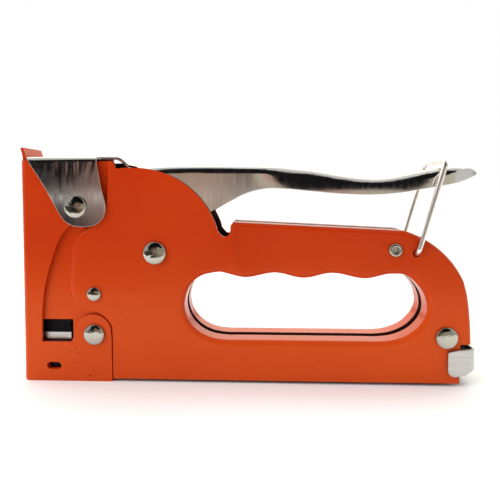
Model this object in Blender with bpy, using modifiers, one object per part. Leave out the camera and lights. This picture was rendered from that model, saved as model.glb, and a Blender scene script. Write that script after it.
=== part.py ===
"""Hand staple gun: two pressed shells, front channel, spring cap, squeeze lever, wire latch and magazine.

X runs from the nose (-X) to the tail (+X), Y across the body, Z up. The origin is in the middle of
the footprint, on the surface that the nose stands on. Outlines are typed in millimetres as (x, z).
"""

import math

import bmesh
import bpy
from mathutils import Matrix, Vector

MM = 0.001

# body shells
BODY_HALF = 9.2  # half of the width over both shells
SHEET = 1.0  # shell and front channel sheet
ROLL_RADIUS = 1.8  # outer radius of the rolled handle, tail and finger-hole edges
SEAM = 3.4  # gap between the two shells at the middle
GAP = 0.3  # gap between pieces that touch
RECESS = SHEET + GAP  # how far the nose area is pressed in, for the front channel to lie over it
TAIL_CENTRE = (45.7, 23.3)
TAIL_RADIUS = 32.9
TAIL_X = 78.5
TAIL_STEP_Z = 15.2
SHELL_BOTTOM_Z = 1.1
MOUTH_X = 74.3  # rear edge of the shells beside the magazine
HOLE_BOTTOM_Z = 15.5  # lower edge of the finger hole
HANDLE_TOP_Z = (58.0, 54.7)  # at the notch and at the start of the tail
SHOULDER_CENTRE = (-40.3, 46.2)
SHOULDER_RADIUS = 30.8

# nose
FRONT_X = -81.1  # outer face of the front wall, at its top
FRONT_LEAN = 0.8  # how much further forward the foot of the front wall stands
NOSE_TOP_Z = 79.7
LIP_TIP = (-81.9, 84.4)
LIP_HALF = BODY_HALF - 1.2
WINDOW = (-63.7, 22.4)  # rear and top edges of the striker window
SLOT = (-70.55, 5.6, 5.3, 2.6)  # centre x, z, length and height of the nose slot

# cap
CAP_SHEET = 0.8
CAP_TOP_Z = 80.9
CAP_BEND = 1.8
TONGUE_HALF = BODY_HALF - SHEET - 1.2  # passes between the shells

# lever
LEVER_CLEAR = 0.5  # between the lever and each shell
LEVER_HALF = BODY_HALF - SHEET - LEVER_CLEAR
LEVER_SHEET = 1.2
LEVER_BEND = 3.0
LEVER_EYE = 8.2
LEVER_TIP_X = 81.7
GRIP_X = -3.7  # where the lever leaves the body and its grip begins
PIVOT = (-33.2, 46.9)
PIVOT_SHANK = 2.5
BUSH_WALL = 0.9

# lifter
LIFTER_OUTER = LEVER_HALF - LEVER_SHEET - 0.4  # turns inside the lever
LIFTER_SHEET = 1.1
LIFTER_REACH = 33.0
LIFTER_ANGLE = 158.0

# latch bail
BAIL_WIRE = 0.9
BAIL_HALF = BODY_HALF + BAIL_WIRE + 0.8  # swings outside the shells
BAIL_PIVOT = (58.5, 47.1)
BAIL_TOP = (LEVER_TIP_X - 14.3, 79.1)  # over the end of the lever

# magazine
MAG_SHEET = 0.8
STAPLE_HALF = BODY_HALF - SHEET - RECESS - MAG_SHEET - 2 * GAP  # widest staple the body takes
STAPLE_LEG = 8.0
MAG_BOTTOM_Z = 1.2
RAIL_HALF = STAPLE_HALF - 0.6

# striker
STRIKER_FOOT_Z = (14.4, 17.3)
STRIKER_TOP_Z = 50.0
SPRING_X = -71.6
SPRING_RADIUS = 4.2
SPRING_WIRE = 0.7
CUP_SHEET = 0.9
CUP_HEIGHT = 9.5

# rivets: x, z, head radius, shank radius, height of the seat above the middle plane
RIVETS = {
    "cap_rivet": (-60.85, 63.3, 3.9, 1.6, BODY_HALF + GAP + CAP_SHEET),
    "lever_pivot_rivet": (PIVOT[0], PIVOT[1], 4.05, PIVOT_SHANK, BODY_HALF),
    "stop_rivet": (-55.3, 32.0, 2.45, 1.3, BODY_HALF),
    "nose_rivet": (-55.45, 17.3, 3.7, 1.8, BODY_HALF),
    "handle_rivet": (51.2, 48.3, 2.4, 1.4, BODY_HALF),
    "rear_rivet": (69.5, 17.5, 3.8, 1.8, BODY_HALF),
}
HEAD_RISE = 0.36  # height of a rivet head as a share of its radius

ORANGE = ((0.71, 0.075, 0.012), 0.0, 0.28)
CHROME = ((0.72, 0.70, 0.68), 1.0, 0.14)
NICKEL = ((0.66, 0.65, 0.62), 1.0, 0.2)
ZINC = ((0.62, 0.62, 0.6), 1.0, 0.35)
STEEL = ((0.42, 0.42, 0.43), 1.0, 0.32)
SPRING_STEEL = ((0.2, 0.2, 0.21), 1.0, 0.3)
RUBBER = ((0.02, 0.02, 0.02), 0.0, 0.8)


def clear_scene():
    for obj in list(bpy.data.objects):
        bpy.data.objects.remove(obj, do_unlink=True)


clear_scene()
PARTS = bpy.data.collections.new("staple_gun")
CUTTERS = bpy.data.collections.new("staple_gun_cutters")
bpy.context.scene.collection.children.link(PARTS)
bpy.context.scene.collection.children.link(CUTTERS)


# ---------------------------------------------------------------- outlines

def smooth(points, steps=3, closed=False):
    """Catmull-Rom points through the given ones."""
    n = len(points)
    out = []
    for i in range(n if closed else n - 1):
        ids = [(i + k) % n if closed else min(max(i + k, 0), n - 1) for k in (-1, 0, 1, 2)]
        a, b, c, d = [points[k] for k in ids]
        for s in range(steps):
            t = s / steps
            out.append(tuple(
                0.5 * (2 * b[k] + (c[k] - a[k]) * t + (2 * a[k] - 5 * b[k] + 4 * c[k] - d[k]) * t * t
                       + (3 * b[k] - a[k] - 3 * c[k] + d[k]) * t ** 3) for k in (0, 1)))
    return out if closed else out + [tuple(points[-1])]


def arc(centre, radius, start, end, steps):
    """Points on a circle from one angle to another, in degrees."""
    turns = [math.radians(start + (end - start) * i / steps) for i in range(steps + 1)]
    return [(centre[0] + radius * math.cos(t), centre[1] + radius * math.sin(t)) for t in turns]


def moved_out(loop, distance):
    """A counterclockwise loop with each edge moved outward; distance may differ for each edge."""
    n = len(loop)
    dist = [distance] * n if isinstance(distance, (int, float)) else distance
    edges = []
    for i in range(n):
        a, b = Vector(loop[i]), Vector(loop[(i + 1) % n])
        along = (b - a).normalized()
        edges.append((a + Vector((along.y, -along.x)) * dist[i], along))
    out = []
    for i in range(n):
        (p, u), (q, v) = edges[i - 1], edges[i]
        turn = u.x * v.y - u.y * v.x
        if abs(turn) < 0.02:
            out.append(tuple((q + p + u * (q - p).dot(u)) / 2))
        else:
            s = ((q - p).x * v.y - (q - p).y * v.x) / turn
            out.append(tuple(p + u * s))
    return out


def grip_wave():
    """The grip's waves: rounded between the hollows for the fingers and the ridges between them."""
    turns = [(50.6, 39.7), (41.1, 38.0), (29.7, 39.85), (19.5, 38.05), (9.4, 39.85), (-1.0, 38.15)]
    turns.append((-11.0, 39.95))
    out = []
    for (x0, z0), (x1, z1) in zip(turns, turns[1:]):
        for i in range(3):
            t = i / 3
            out.append((x0 + (x1 - x0) * t, z0 + (z1 - z0) * (1 - math.cos(math.pi * t)) / 2))
    return out + turns[-1:]


def finger_hole(grow=0.0):
    """The finger hole, with the four grip waves along its top."""
    wave = grip_wave()
    left = [(-16.9, 38.6), (-20.8, 35.2), (-22.7, 30.3), (-22.7, 26.0), (-21.0, 21.8),
            (-17.7, 18.4), (-13.3, 16.3), (-8.0, HOLE_BOTTOM_Z)]
    low = [(-2.5, HOLE_BOTTOM_Z), (20.0, HOLE_BOTTOM_Z), (41.0, HOLE_BOTTOM_Z)]
    right = [(46.5, HOLE_BOTTOM_Z), (52.3, 16.3), (57.6, 18.7), (61.2, 22.3), (62.8, 26.0),
             (62.7, 29.7), (61.4, 33.3), (58.6, 36.9), (55.0, 39.4)]
    return moved_out(smooth(wave + left + low + right, 2, closed=True), grow)


def body_loop(inset, margin):
    """The body outline with its rolled edges inset; elsewhere it runs out past the cut edges."""
    start = math.degrees(math.acos((54.4 - TAIL_CENTRE[0]) / TAIL_RADIUS))
    tail = arc(TAIL_CENTRE, TAIL_RADIUS, 25.0, start, 7)
    rear = [(TAIL_X + 0.3, -margin), (TAIL_X, TAIL_STEP_Z), (TAIL_X - 0.7, 26.2), (TAIL_X - 1.6, 33.0)]
    top = [(-7.5, HANDLE_TOP_Z[0])]
    far = [(-7.5, 66.0), (-20.0, 81.0 + margin), (FRONT_X - margin, 81.0 + margin),
           (FRONT_X - margin, -margin)]
    loop = rear + tail + top + far
    rolled = len(rear + tail)
    return moved_out(loop, [-inset] * rolled + [0.0] * (len(loop) - rolled))


def trim_loop():
    """The cut edges of a shell: bottom, mouth, notch, shoulder and top; rolled edges left proud."""
    bottom = [(FRONT_X + SHEET + 0.5 - FRONT_LEAN, SHELL_BOTTOM_Z), (MOUTH_X, SHELL_BOTTOM_Z),
              (MOUTH_X, TAIL_STEP_Z - 0.2)]
    proud = [(TAIL_X + 5, TAIL_STEP_Z), (TAIL_X + 5, 62.0), (-5.2, 62.0)]
    notch = smooth([(-5.6, HANDLE_TOP_Z[0] - 0.4), (-6.3, 56.5), (-6.4, 54.6), (-7.3, 53.1),
                    (-8.8, 52.8), (-10.1, 53.9), (-11.0, 55.2)], 2)
    shoulder = arc(SHOULDER_CENTRE, SHOULDER_RADIUS, 17.6, 93.0, 16)[1:]
    horn = smooth([(-44.6, 77.0), (-46.1, 76.7), (-47.0, 77.2), (-47.6, 78.7), (-48.6, 79.4)], 2)
    return bottom + proud + notch + shoulder + horn + [(FRONT_X + SHEET + 0.5, 79.4)]


def recess_loop(shift=0.0):
    """The pressed-in nose area of the shells, moved rearward by shift."""
    edge = smooth([(-48.9, -5.0), (-48.9, 4.0), (-48.9, 18.0), (-50.0, 21.8), (-53.4, 25.0),
                   (-58.2, 25.9), (-61.4, 27.6), (-62.4, 31.5), (-62.3, 38.0), (-61.6, 47.8),
                   (-60.3, 52.2), (-56.3, 55.3), (-51.8, 59.0), (-49.7, 65.7), (-48.7, 78.0),
                   (-48.5, 90.0)], 2)
    loop = edge + [(-100.0, 90.0), (-100.0, -5.0)]
    return moved_out(loop, [shift] * (len(edge) - 1) + [0.0] * 3)


def channel_loop():
    """Side view of the front channel: front wall, flap, window edge and riveted ear."""
    toe = arc((FRONT_X - FRONT_LEAN + 1.2, 1.2), 1.2, 180, 270, 3)
    ear = arc((-56.0, 17.9), 6.6, 10, 168, 10)
    flap = smooth([(-74.8, 14.4), (-74.4, 25.3), (-73.3, 34.2), (-70.9, 43.1), (-67.2, 52.3),
                   (-63.4, 56.6), (-59.5, 58.9), (-56.6, 61.2), (-55.6, 65.5)], 2)
    return ([(-49.3, 0.0), (-49.3, 15.5)] + ear + [(-63.0, 16.6), (-63.9, 14.4)] + flap
            + [(-55.6, NOSE_TOP_Z), (FRONT_X - 0.1, NOSE_TOP_Z)] + toe)


def cap_loop():
    """Side view of the cap's flanges, open above its top."""
    edge = smooth([(-53.4, 79.9), (-51.7, 69.9), (-50.4, 64.2), (-50.8, 60.4), (-53.2, 57.4),
                   (-56.6, 56.3), (-61.5, 56.4), (-64.4, 57.8), (-66.5, 60.2), (-72.1, 70.4),
                   (-78.3, 80.4)], 2)
    return [(-53.5, 90.0)] + edge + [(-78.3, 90.0)]


def reached(points):
    """Points of the grip, drawn for a tip at x = 81.7, drawn out to the tip that is set."""
    out = []
    for x, z in points:
        beyond = max(x - GRIP_X, 0.0)
        out.append((x + beyond * (LEVER_TIP_X - 81.7) / (81.7 - GRIP_X), z))
    return out


LEVER_TOP = reached([(81.7, 75.0), (79.6, 76.0), (77.2, 77.0), (73.5, 77.5), (68.0, 77.1), (62.2, 76.2),
                     (56.9, 75.1), (50.3, 73.9), (43.6, 73.5), (33.5, 74.6), (23.4, 76.3), (9.9, 77.6),
                     (GRIP_X, 77.9), (-17.4, 78.0), (-30.0, 77.9), (-37.3, 77.3)])
LEVER_UNDER = reached([(-24.8, 49.5), (-22.5, 54.0), (-19.0, 57.6), (-13.8, 61.3), (-7.0, 65.2),
                       (-0.5, 68.3), (6.5, 69.8), (13.2, 69.7), (23.3, 68.8), (33.3, 67.9),
                       (43.2, 67.6), (53.1, 68.3), (59.7, 69.4), (66.2, 70.5), (72.7, 71.8),
                       (78.0, 73.6)])


def lever_loop(top, rest):
    """Side view of the lever, its top edge and its other edges moved outward by different amounts."""
    upper = smooth(LEVER_TOP, 2)
    eye = arc(PIVOT, LEVER_EYE, 180, 360, 8)
    under = smooth(LEVER_UNDER, 1)
    loop = upper + [(-41.0, 58.0)] + eye + under
    return moved_out(loop, [top] * (len(upper) - 1) + [rest] * (len(loop) - len(upper) + 1))


def lever_far_loop(inset, margin):
    """The lever's top edge inset, closed far below and in front of it."""
    upper = smooth(LEVER_TOP, 2)
    far = [(-37.3 - margin, 77.3), (-37.3 - margin, 30.0), (LEVER_TIP_X, 30.0)]
    return moved_out(upper + far, [-inset] * (len(upper) - 1) + [-inset, 0.0, 0.0, 0.0])


def lever_plan(inset):
    """Plan of the lever: straight sides that close round to a blunt tip."""
    half = LEVER_HALF - inset
    run = 13.0
    tip = [(LEVER_TIP_X - inset - run * (1 - math.cos(math.radians(a))), half * math.sin(math.radians(a)))
           for a in range(-90, 91, 15)]
    return [(-60.0, -half)] + tip + [(-60.0, half)]


def tab_loop():
    return [(69.9, 6.1), (70.6, 4.3), (72.7, 3.7), (76.0, 4.4), (79.3, 6.6), (79.3, 13.9),
            (73.5, 13.4), (69.9, 12.7)]


# ---------------------------------------------------------------- solids

def material(name, look):
    mat = bpy.data.materials.get(name) or bpy.data.materials.new(name)
    mat.use_nodes = True
    shader = mat.node_tree.nodes["Principled BSDF"]
    colour, metallic, roughness = look
    shader.inputs["Base Color"].default_value = (*colour, 1.0)
    shader.inputs["Metallic"].default_value = metallic
    shader.inputs["Roughness"].default_value = roughness
    mat.diffuse_color = (*colour, 1.0)
    return mat


def place(obj, cutter=False):
    (CUTTERS if cutter else PARTS).objects.link(obj)
    if cutter:
        obj.hide_render = True
        obj.display_type = "WIRE"
    return obj


def mesh_of_curve(curve_obj, name, cutter):
    """The curve as a welded mesh in world space; the curve itself is removed."""
    bpy.context.view_layer.update()
    graph = bpy.context.evaluated_depsgraph_get()
    mesh = bpy.data.meshes.new_from_object(curve_obj.evaluated_get(graph))
    mesh.transform(curve_obj.matrix_world)
    data = curve_obj.data
    bpy.data.objects.remove(curve_obj)
    bpy.data.curves.remove(data)
    bm = bmesh.new()
    bm.from_mesh(mesh)
    bmesh.ops.remove_doubles(bm, verts=bm.verts, dist=2e-6)
    bmesh.ops.recalc_face_normals(bm, faces=bm.faces)
    bm.to_mesh(mesh)
    bm.free()
    mesh.name = name
    return place(bpy.data.objects.new(name, mesh), cutter)


def plate(name, loops, low, high, round_edge=0.0, plan=False, cutter=False, bevel_steps=1):
    """A flat outline with holes, from low to high across it. Its edges can be rounded.

    The outline is a side view (x, z) unless plan is set, when it is (x, y). Loops are already
    inset by round_edge, which the bevel gives back.
    """
    curve = bpy.data.curves.new(name, "CURVE")
    curve.dimensions = "2D"
    curve.fill_mode = "BOTH"
    curve.extrude = ((high - low) / 2 - round_edge) * MM
    curve.bevel_depth = round_edge * MM
    curve.bevel_resolution = bevel_steps
    for loop in loops:
        spline = curve.splines.new("POLY")
        spline.points.add(len(loop) - 1)
        for point, (x, z) in zip(spline.points, loop):
            point.co = (x * MM, z * MM, 0.0, 1.0)
        spline.use_cyclic_u = True
    obj = bpy.data.objects.new(name, curve)
    bpy.context.scene.collection.objects.link(obj)
    middle = (low + high) / 2 * MM
    if plan:
        obj.location = (0.0, 0.0, middle)
    else:
        obj.location = (0.0, middle, 0.0)
        obj.rotation_euler = (math.pi / 2, 0.0, 0.0)
    return mesh_of_curve(obj, name, cutter)


def box(name, x, y, z, cutter=False, bevel=0.0):
    """A box from its lowest to its highest x, y and z."""
    mesh = bpy.data.meshes.new(name)
    bm = bmesh.new()
    size = [(b - a) * MM for a, b in (x, y, z)]
    centre = [(a + b) / 2 * MM for a, b in (x, y, z)]
    bmesh.ops.create_cube(bm, size=1.0)
    bmesh.ops.scale(bm, vec=size, verts=bm.verts)
    bmesh.ops.translate(bm, vec=centre, verts=bm.verts)
    bm.to_mesh(mesh)
    bm.free()
    obj = place(bpy.data.objects.new(name, mesh), cutter)
    if bevel:
        mod = obj.modifiers.new("edges", "BEVEL")
        mod.width = bevel * MM
        mod.segments = 2
        mod.limit_method = "ANGLE"
    return obj


def turned(name, profile, at, axis="Y", steps=16, cutter=False):
    """A profile (radius, height) turned about an axis through at."""
    mesh = bpy.data.meshes.new(name)
    bm = bmesh.new()
    verts = [bm.verts.new((r * MM, 0.0, h * MM)) for r, h in profile]
    for a, b in zip(verts, verts[1:]):
        bm.edges.new((a, b))
    if profile[0][0] > 0 or profile[-1][0] > 0:
        bm.edges.new((verts[-1], verts[0]))
    bm.to_mesh(mesh)
    bm.free()
    obj = place(bpy.data.objects.new(name, mesh), cutter)
    obj.location = Vector(at) * MM
    if axis == "Y":
        obj.rotation_euler = (math.pi / 2, 0.0, 0.0)
    screw = obj.modifiers.new("turn", "SCREW")
    screw.angle = 2 * math.pi
    screw.steps = screw.render_steps = steps
    screw.use_merge_vertices = True
    screw.merge_threshold = 0.00001
    return obj


def pin(name, x, z, radius, half, steps=16):
    """A plain cylinder across the body, used as a cutter for a hole."""
    profile = [(0.0, half), (radius, half), (radius, -half), (0.0, -half)]
    return turned(name, profile, (x, 0.0, z), steps=steps, cutter=True)


def wire(name, points, radius, sides_setting=1):
    """A round wire along a path of (x, y, z) points."""
    curve = bpy.data.curves.new(name, "CURVE")
    curve.dimensions = "3D"
    curve.bevel_depth = radius * MM
    curve.bevel_resolution = sides_setting
    curve.use_fill_caps = True
    spline = curve.splines.new("POLY")
    spline.points.add(len(points) - 1)
    for point, co in zip(spline.points, points):
        point.co = (co[0] * MM, co[1] * MM, co[2] * MM, 1.0)
    obj = bpy.data.objects.new(name, curve)
    bpy.context.scene.collection.objects.link(obj)
    return mesh_of_curve(obj, name, False)


def boolean(obj, other, operation="DIFFERENCE"):
    mod = obj.modifiers.new(operation.lower() + "_" + other.name, "BOOLEAN")
    mod.operation = operation
    mod.object = other
    mod.solver = "EXACT"
    return obj


def finish(obj, look_name, look):
    obj.data.materials.clear()
    obj.data.materials.append(material(look_name, look))
    return obj


def joint_empty(name, x, z):
    empty = bpy.data.objects.new(name, None)
    empty.location = (x * MM, 0.0, z * MM)
    empty.empty_display_size = 0.01
    PARTS.objects.link(empty)
    return empty


def hang(empty, *objs):
    """Parents objects to the empty on their joint, keeping them where they are."""
    for obj in objs:
        obj.parent = empty
        obj.matrix_parent_inverse = Matrix.Translation(empty.location).inverted()


# ---------------------------------------------------------------- body

def shell_solid():
    """Cutters shared by both shells: cavity, trim, recess, window, slot and holes."""
    inner = BODY_HALF - SHEET
    soft = ROLL_RADIUS - SHEET
    cavity = plate("cut_cavity", [body_loop(SHEET + soft, 8.0), finger_hole(SHEET + soft)],
                   -inner, inner, soft, cutter=True)
    for side in (-1, 1):
        low, high = sorted((side * (inner - RECESS), side * 14.0))
        boolean(cavity, plate(f"cut_cavity_recess_{side + 1}", [recess_loop(SHEET)], low, high,
                              cutter=True))
    cutters = [(plate("cut_trim", [trim_loop()], -16.0, 16.0, cutter=True), "INTERSECT"),
               (cavity, "DIFFERENCE")]
    for side in (-1, 1):
        low, high = sorted((side * (BODY_HALF - RECESS), side * 14.5))
        cutters.insert(0, (plate(f"cut_recess_{side + 1}", [recess_loop()], low, high, cutter=True),
                           "DIFFERENCE"))
    cutters.append((box("cut_window", (-76.6, WINDOW[0]), (-17.0, 17.0), (12.6, WINDOW[1]), cutter=True),
                    "DIFFERENCE"))
    for name, (x, z, _, shank, _) in RIVETS.items():
        cutters.append((pin("hole_" + name, x, z, shank + GAP, 18.0, 12), "DIFFERENCE"))
    cutters.append((pin("hole_bail", *BAIL_PIVOT, BAIL_WIRE + GAP, 18.5, 10), "DIFFERENCE"))
    return cutters


def make_shells():
    cutters = shell_solid()
    shells = []
    for name, side in (("shell_left", -1), ("shell_right", 1)):
        outer = plate(name, [body_loop(ROLL_RADIUS, 5.0), finger_hole(ROLL_RADIUS)],
                      -BODY_HALF, BODY_HALF, ROLL_RADIUS)
        for cutter, operation in cutters:
            boolean(outer, cutter, operation)
        low, high = sorted((-side * 20.0, side * SEAM / 2))
        boolean(outer, box("cut_half_" + name, (-110, 110), (low, high), (-30, 120), cutter=True))
        shells.append(finish(outer, "orange_paint", ORANGE))
    return shells


def slot_cutter():
    x, z, length, height = SLOT
    r = height / 2
    run = length / 2 - r
    loop = arc((x + run, z), r, -90, 90, 6) + arc((x - run, z), r, 90, 270, 6)
    return plate("cut_slot", [loop], -17.5, 17.5, cutter=True)


def leaning(obj):
    """Slopes a solid forward, so that its foot stands further out than its top."""
    for vert in obj.data.vertices:
        vert.co.x -= FRONT_LEAN * (MM - vert.co.z / NOSE_TOP_Z)
    return obj


def make_channel(shells):
    """The U-shaped front channel, folded round the nose over the shells, with its top lip."""
    channel = leaning(box("front_channel", (FRONT_X, -40.0), (-BODY_HALF, BODY_HALF), (-6.0, 90.0),
                          bevel=2.0))
    inner = leaning(box("cut_channel_inner", (FRONT_X + SHEET, -30.0),
                        (-BODY_HALF + SHEET, BODY_HALF - SHEET), (-12.0, 96.0), cutter=True, bevel=1.0))
    side = plate("cut_channel_side", [channel_loop()], -19.0, 19.0, cutter=True)
    boolean(channel, inner)
    boolean(channel, side, "INTERSECT")
    lip_front = smooth([(FRONT_X + 0.03, NOSE_TOP_Z - 0.6), (FRONT_X - 0.1, 81.6),
                        (LIP_TIP[0], LIP_TIP[1] - 0.2)], 2)
    lip_back = smooth([(LIP_TIP[0] + 0.9, LIP_TIP[1]), (FRONT_X + SHEET, 81.4),
                       (FRONT_X + SHEET - 0.03, NOSE_TOP_Z - 0.6)], 2)
    lip = plate("join_lip", [(lip_front + lip_back)[::-1]], -LIP_HALF + 1.0, LIP_HALF - 1.0, cutter=True)
    boolean(channel, lip, "UNION")
    slot = slot_cutter()
    boolean(channel, slot)
    for shell in shells:
        boolean(shell, slot)
    for name in ("cap_rivet", "nose_rivet"):
        x, z, _, shank, _ = RIVETS[name]
        boolean(channel, pin("channel_" + name, x, z, shank + GAP, 18.2, 12))
    return finish(channel, "orange_paint", ORANGE)


def make_cap():
    """The plated cap: two flanges, a folded top and a tongue that reaches back to the lever."""
    half = BODY_HALF + GAP + CAP_SHEET
    cap = plate("spring_cap", [[(-78.3 - 4 + CAP_BEND, 40 + CAP_BEND), (-49.0 - CAP_BEND, 40 + CAP_BEND),
                                (-49.0 - CAP_BEND, CAP_TOP_Z - CAP_BEND),
                                (-78.3 - 4 + CAP_BEND, CAP_TOP_Z - CAP_BEND)]],
                -half, half, CAP_BEND, bevel_steps=2)
    soft = CAP_BEND - CAP_SHEET
    hollow = plate("cut_cap_hollow", [[(-90.0, 30.0), (-30.0, 30.0),
                                       (-30.0, CAP_TOP_Z - CAP_SHEET - soft),
                                       (-90.0, CAP_TOP_Z - CAP_SHEET - soft)]],
                   -half + CAP_SHEET, half - CAP_SHEET, soft, cutter=True)
    boolean(cap, hollow)
    boolean(cap, plate("cut_cap_side", [cap_loop()], -20.0, 20.0, cutter=True), "INTERSECT")
    top = CAP_TOP_Z
    tongue = [(-54.5, top - CAP_SHEET + 0.02), (-47.8, top - CAP_SHEET), (-44.2, 78.0), (-43.0, 77.3),
              (-42.6, 78.1), (-43.7, 79.0), (-46.8, top - 0.05), (-54.5, top - 0.02)]
    boolean(cap, plate("join_tongue", [tongue], -TONGUE_HALF, TONGUE_HALF, cutter=True), "UNION")
    x, z, _, shank, _ = RIVETS["cap_rivet"]
    boolean(cap, pin("cap_hole", x, z, shank + GAP, 21.0, 12))
    return finish(cap, "chrome", CHROME)


# ---------------------------------------------------------------- lever group

def make_lever():
    """The squeeze lever: a channel open downward, with its bend round the top edges."""
    lever = plate("lever", [lever_far_loop(LEVER_BEND, 6.0)], -LEVER_HALF, LEVER_HALF, LEVER_BEND,
                  bevel_steps=2)
    soft = LEVER_BEND - LEVER_SHEET
    hollow = plate("cut_lever_hollow", [lever_far_loop(LEVER_SHEET + soft, 12.0)],
                   -LEVER_HALF + LEVER_SHEET, LEVER_HALF - LEVER_SHEET, soft, cutter=True)
    boolean(hollow, plate("cut_lever_plan_inner", [lever_plan(LEVER_SHEET)], 10.0, 95.0, plan=True,
                          cutter=True), "INTERSECT")
    boolean(lever, plate("cut_lever_plan", [lever_plan(0.0)], 15.0, 90.0, plan=True, cutter=True),
            "INTERSECT")
    boolean(lever, hollow)
    boolean(lever, plate("cut_lever_side", [lever_loop(4.0, 0.0)], -20.0, 20.0, cutter=True),
            "INTERSECT")
    boolean(lever, pin("lever_hole", *PIVOT, PIVOT_SHANK + GAP, 21.5, 12))
    return finish(lever, "chrome_lever", CHROME)


def make_lifter():
    """The forked arm that raises the striker: two cheeks on the pivot, joined by a bar."""
    turn = math.radians(LIFTER_ANGLE)
    along = Vector((math.cos(turn), math.sin(turn)))
    across = Vector((-along.y, along.x))
    centre = Vector(PIVOT)
    eye = arc(PIVOT, 6.0, LIFTER_ANGLE + 80, LIFTER_ANGLE - 80 + 360, 8)
    nose = [centre + along * (LIFTER_REACH - 2.2) - across * 2.2, centre + along * LIFTER_REACH - across,
            centre + along * LIFTER_REACH + across, centre + along * (LIFTER_REACH - 2.2) + across * 2.2]
    loop = eye + [tuple(p) for p in nose]
    inner = LIFTER_OUTER - LIFTER_SHEET
    arm = plate("lifter", [loop], -LIFTER_OUTER, -inner)
    other = plate("join_lifter_arm", [loop], inner, LIFTER_OUTER, cutter=True)
    bar_at = centre + along * 16.0
    bar = pin("join_lifter_bar", bar_at.x, bar_at.y, 1.6, LIFTER_OUTER - 0.3, 10)
    boolean(arm, bar, "UNION")
    boolean(arm, other, "UNION")
    boolean(arm, pin("lifter_hole", *PIVOT, PIVOT_SHANK + GAP, 22.0, 12))
    return finish(arm, "steel", STEEL)


def coil(centre, radius, low, high, turns, wire_radius, axis, per_turn=10, phase=0.0):
    """Points of a coil whose end turns lie closed; centre holds the two fixed coordinates."""
    total = int(turns * per_turn)
    dead = 2.3 * wire_radius
    pitch = (high - low - 2 * dead) / (turns - 2)
    points = []
    for i in range(total + 1):
        t = i / per_turn
        if t <= 1:
            h = low + dead * t
        elif t >= turns - 1:
            h = high - dead * (turns - t)
        else:
            h = low + dead + pitch * (t - 1)
        a = 2 * math.pi * t + phase
        u, v = centre[0] + radius * math.cos(a), centre[1] + radius * math.sin(a)
        points.append((u, v, h) if axis == "Z" else (h, u, v) if axis == "X" else (u, h, v))
    return points


def make_return_spring():
    """A torsion spring round the pivot: one leg under the lever, one on the stop rivet."""
    wire_radius, turns, per_turn = 0.55, 4, 12
    radius = PIVOT_SHANK + GAP + BUSH_WALL + wire_radius + 0.65
    stop_x, stop_z, _, stop_shank, _ = RIVETS["stop_rivet"]
    feet = [(-17.5, 71.0), (stop_x - 1.2, stop_z + stop_shank + wire_radius + 0.5)]
    angles = []
    for x, z in feet:
        dx, dz = x - PIVOT[0], z - PIVOT[1]
        reach = math.acos(radius / math.hypot(dx, dz))
        angles.append(math.atan2(dz, dx) + (reach if x > PIVOT[0] else 2 * math.pi - reach))
    start, end = angles[0], angles[1] + 2 * math.pi * (turns - 1)
    pitch = 2.6 * wire_radius
    total = int(turns * per_turn)
    points = []
    for i in range(total + 1):
        a = start + (end - start) * i / total
        y = pitch * (i / per_turn - turns / 2)
        points.append((PIVOT[0] + radius * math.cos(a), y, PIVOT[1] + radius * math.sin(a)))
    low, high = points[0][1], points[-1][1]
    path = [(feet[0][0], low, feet[0][1])] + points + [(feet[1][0], high, feet[1][1])]
    return finish(wire("return_spring", path, wire_radius), "spring_steel", SPRING_STEEL)


def tube(name, x, z, outer, inner, half, look_name, look, steps=14):
    profile = [(outer, half), (outer, -half), (inner, -half), (inner, half)]
    return finish(turned(name, profile, (x, 0.0, z), steps=steps), look_name, look)


def make_rivets():
    """Domed rivets through the body, with a shank that clears its holes."""
    for name, (x, z, head, shank, seat) in RIVETS.items():
        seat += GAP
        rise = head * HEAD_RISE
        dome = [(head * math.sin(a), seat + rise * (0.3 + 0.7 * math.cos(a)))
                for a in [math.radians(d) for d in (0, 30, 60, 90)]]
        half = dome[:1] + dome[1:] + [(head, seat), (shank, seat)]
        profile = half + [(r, -h) for r, h in half[::-1]]
        profile[0] = (0.0, profile[0][1])
        profile[-1] = (0.0, profile[-1][1])
        finish(turned(name, profile, (x, 0.0, z), steps=16), "nickel", NICKEL)


# ---------------------------------------------------------------- latch bail

def make_bail():
    """A bent wire loop that holds the lever shut; its feet hook into holes in the shells."""
    px, pz = BAIL_PIVOT
    tx, tz = BAIL_TOP
    length = math.hypot(tx - px, tz - pz)
    ux, uz = (tx - px) / length, (tz - pz) / length
    corner = 2.2
    half = [(px, BODY_HALF - SHEET - 0.8, pz), (px, BAIL_HALF - corner, pz)]
    for a in (30, 60, 90):
        s = corner * math.sin(math.radians(a))
        rise = corner * (1 - math.cos(math.radians(a)))
        half.append((px + ux * rise, BAIL_HALF - corner + s, pz + uz * rise))
    for a in (0, 30, 60, 90):
        up = length - corner + corner * math.sin(math.radians(a))
        side = BAIL_HALF - corner + corner * math.cos(math.radians(a))
        half.append((px + ux * up, side, pz + uz * up))
    path = [(x, -y, z) for x, y, z in half] + half[::-1]
    return finish(wire("latch_bail", path, BAIL_WIRE, 2), "zinc_wire", NICKEL)


# ---------------------------------------------------------------- striker and magazine

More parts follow.
